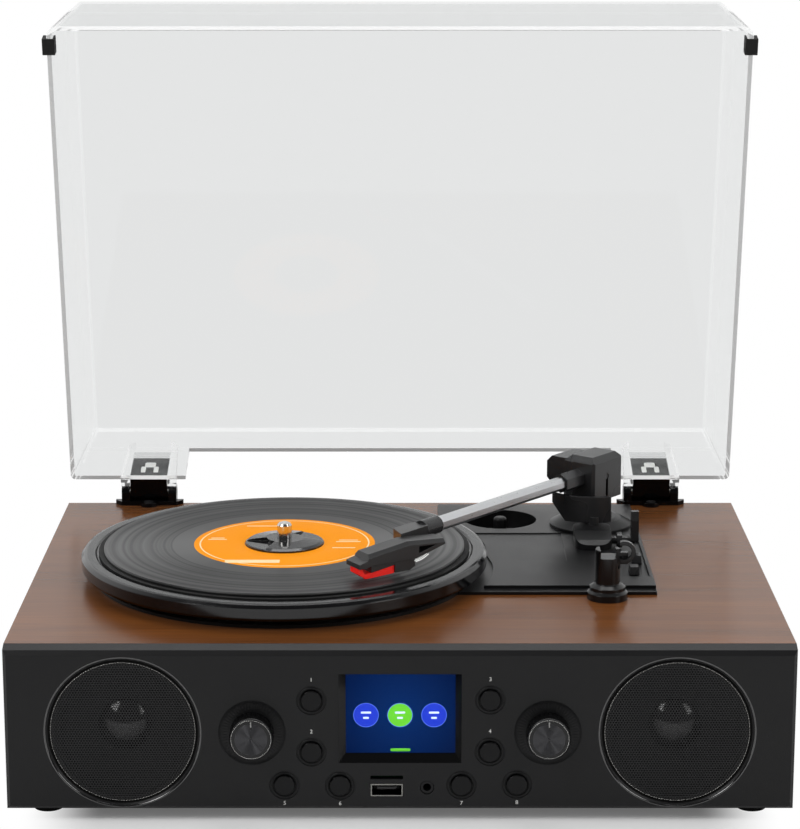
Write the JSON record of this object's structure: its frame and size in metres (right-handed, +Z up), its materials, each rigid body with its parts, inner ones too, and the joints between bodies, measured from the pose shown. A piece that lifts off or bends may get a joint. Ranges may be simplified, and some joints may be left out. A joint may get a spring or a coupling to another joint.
{
  "type": "record player",
  "caption": "Record player with radio: wooden plinth, black front with speakers, screen and knobs, belt-driven platter, tonearm and hinged clear lid.",
  "frame": {"origin": "middle of the bounding box's bottom face, lid open as pictured", "axes": "+X to the user's right, +Y to the back, +Z up"},
  "size_m": [0.355, 0.3072, 0.3494],
  "materials": {
    "walnut_veneer": "satin lacquer",
    "black_board": "painted fibreboard",
    "black_moulding": "fine satin texture",
    "black_gloss": "gloss",
    "platter_black": "black satin",
    "grille_steel": "black lacquer",
    "speaker_parts": "paper cone and steel basket",
    "clear_acrylic": "clear, polished",
    "screen": "lit colour display",
    "steel": "bright steel",
    "silver_tube": "bright drawn tube",
    "brass_part": "turned",
    "black_rubber": "matt",
    "red_stylus": "red moulding",
    "circuit_board": "lacquered board",
    "socket_black": "moulded"
  },
  "bodies": {
    "base": {"wood_cabinet": "walnut_veneer", "rear_panel": "black_board", "bottom_cover": "black_board", "feet": "black_rubber", "case_screws": "steel", "front_panel": "black_moulding", "speaker_grille_left": "grille_steel", "speaker_grille_right": "grille_steel", "speaker_left": "speaker_parts", "speaker_right": "speaker_parts", "display_lens": "clear_acrylic", "display_module": "screen", "control_board": "circuit_board", "usb_port": "steel", "aux_jack": "socket_black", "chassis_plate": "black_moulding", "bearing_bush": "brass_part", "motor": "steel", "drive_belt": "black_rubber", "arm_turret": "black_moulding", "cue_housing": "black_moulding", "arm_rest": "black_moulding", "hinge_bases": "black_moulding", "hinge_pins": "steel", "main_board": "circuit_board", "line_out_sockets": "steel", "dc_inlet": "socket_black"},
    "turntable": {"platter": "platter_black", "slip_mat": "black_rubber", "record": "black_gloss", "adapter_45": "black_moulding", "spindle": "steel"},
    "pulley": {"motor_pulley": "brass_part"},
    "arm_post": {"arm_yoke": "black_moulding"},
    "arm": {"arm_block": "black_moulding", "arm_tube": "silver_tube", "headshell": "black_moulding", "cartridge": "black_moulding", "stylus": "red_stylus"},
    "lifter": {"arm_lifter": "black_moulding"},
    "lift_lever": {"cue_lever": "black_moulding"},
    "rest_clip": {"arm_clip": "black_moulding"},
    "speed_slider": {"speed_switch": "black_moulding"},
    "autostop_slider": {"autostop_switch": "black_moulding"},
    "lid": {"dust_cover": "clear_acrylic", "lid_bumpers": "black_rubber", "hinge_leaves": "black_moulding"},
    "volume": {"volume_knob": "black_gloss", "volume_shaft": "steel"},
    "tune_plunger": {"tune_shaft": "steel"},
    "tune_dial": {"tune_knob": "black_gloss"},
    "power_button_cap": {"power_button": "black_gloss"},
    "mode_button_cap": {"mode_button": "black_gloss"},
    "menu_button_cap": {"menu_button": "black_gloss"},
    "preset_button_cap": {"preset_button": "black_gloss"},
    "playback_button_cap": {"playback_button": "black_gloss"},
    "record_button_cap": {"record_button": "black_gloss"},
    "alarm_button_cap": {"alarm_button": "black_gloss"},
    "scan_button_cap": {"scan_button": "black_gloss"}
  },
  "joints": [
    {"name": "lid_hinge", "type": "hinge", "parent": "base", "child": "lid", "pos_m": [0, 0.10904, 0.0889], "axis": [1, 0, 0], "range_deg": [0, 78]},
    {"name": "platter_spin", "type": "hinge", "parent": "base", "child": "turntable", "pos_m": [-0.0562, -0.02397, 0.0924], "axis": [0, 0, 1], "continuous": true},
    {"name": "pulley_spin", "type": "hinge", "parent": "base", "child": "pulley", "pos_m": [-0.1057, 0.02553, 0.0884], "axis": [0, 0, 1], "continuous": true},
    {"name": "arm_swing", "type": "hinge", "parent": "base", "child": "arm_post", "pos_m": [0.0982, 0.05504, 0.0924], "axis": [0, 0, 1], "range_deg": [-10, 38.8]},
    {"name": "arm_tilt", "type": "hinge", "parent": "arm_post", "child": "arm", "pos_m": [0.0982, 0.05504, 0.1124], "axis": [-0.7785, 0.6277, 0], "range_deg": [0, 4]},
    {"name": "lift_slide", "type": "slide", "parent": "base", "child": "lifter", "axis": [0, 0, 1], "range_m": [0, 0.0019]},
    {"name": "lift_lever_turn", "type": "hinge", "parent": "base", "child": "lift_lever", "pos_m": [0.112, 0.01404, 0.0884], "axis": [-1, 0, 0], "range_deg": [0, 66]},
    {"name": "rest_clip_turn", "type": "hinge", "parent": "base", "child": "rest_clip", "pos_m": [0.1054, -0.06696, 0.102], "axis": [0, -1, 0], "range_deg": [0, 60]},
    {"name": "speed_slide", "type": "slide", "parent": "base", "child": "speed_slider", "axis": [0, 1, 0], "range_m": [0, 0.008]},
    {"name": "autostop_slide", "type": "slide", "parent": "base", "child": "autostop_slider", "axis": [0, 1, 0], "range_m": [0, 0.005]},
    {"name": "volume_turn", "type": "hinge", "parent": "base", "child": "volume", "pos_m": [-0.0664, -0.14797, 0.0424], "axis": [0, 1, 0], "range_deg": [-140, 140]},
    {"name": "tune_press", "type": "slide", "parent": "base", "child": "tune_plunger", "axis": [0, 1, 0], "range_m": [0, 0.0005], "stiffness_N_per_m": 2000, "springref_m": -0.0004},
    {"name": "tune_turn", "type": "hinge", "parent": "tune_plunger", "child": "tune_dial", "pos_m": [0.0664, -0.14797, 0.0424], "axis": [0, 1, 0], "continuous": true},
    {"name": "power_button_press", "type": "slide", "parent": "base", "child": "power_button_cap", "axis": [0, 1, 0], "range_m": [0, 0.0008], "stiffness_N_per_m": 1200, "springref_m": -0.0005},
    {"name": "mode_button_press", "type": "slide", "parent": "base", "child": "mode_button_cap", "axis": [0, 1, 0], "range_m": [0, 0.0008], "stiffness_N_per_m": 1200, "springref_m": -0.0005},
    {"name": "menu_button_press", "type": "slide", "parent": "base", "child": "menu_button_cap", "axis": [0, 1, 0], "range_m": [0, 0.0008], "stiffness_N_per_m": 1200, "springref_m": -0.0005},
    {"name": "preset_button_press", "type": "slide", "parent": "base", "child": "preset_button_cap", "axis": [0, 1, 0], "range_m": [0, 0.0008], "stiffness_N_per_m": 1200, "springref_m": -0.0005},
    {"name": "playback_button_press", "type": "slide", "parent": "base", "child": "playback_button_cap", "axis": [0, 1, 0], "range_m": [0, 0.0008], "stiffness_N_per_m": 1200, "springref_m": -0.0005},
    {"name": "record_button_press", "type": "slide", "parent": "base", "child": "record_button_cap", "axis": [0, 1, 0], "range_m": [0, 0.0008], "stiffness_N_per_m": 1200, "springref_m": -0.0005},
    {"name": "alarm_button_press", "type": "slide", "parent": "base", "child": "alarm_button_cap", "axis": [0, 1, 0], "range_m": [0, 0.0008], "stiffness_N_per_m": 1200, "springref_m": -0.0005},
    {"name": "scan_button_press", "type": "slide", "parent": "base", "child": "scan_button_cap", "axis": [0, 1, 0], "range_m": [0, 0.0008], "stiffness_N_per_m": 1200, "springref_m": -0.0005}
  ],
  "couplings": [
    {"joint": "pulley_spin", "follows": "platter_spin", "ratio": 13.333},
    {"joint": "lift_slide", "follows": "arm_tilt", "m_per_rad": 0.0255},
    {"joint": "lift_lever_turn", "follows": "arm_tilt", "ratio": 16}
  ]
}
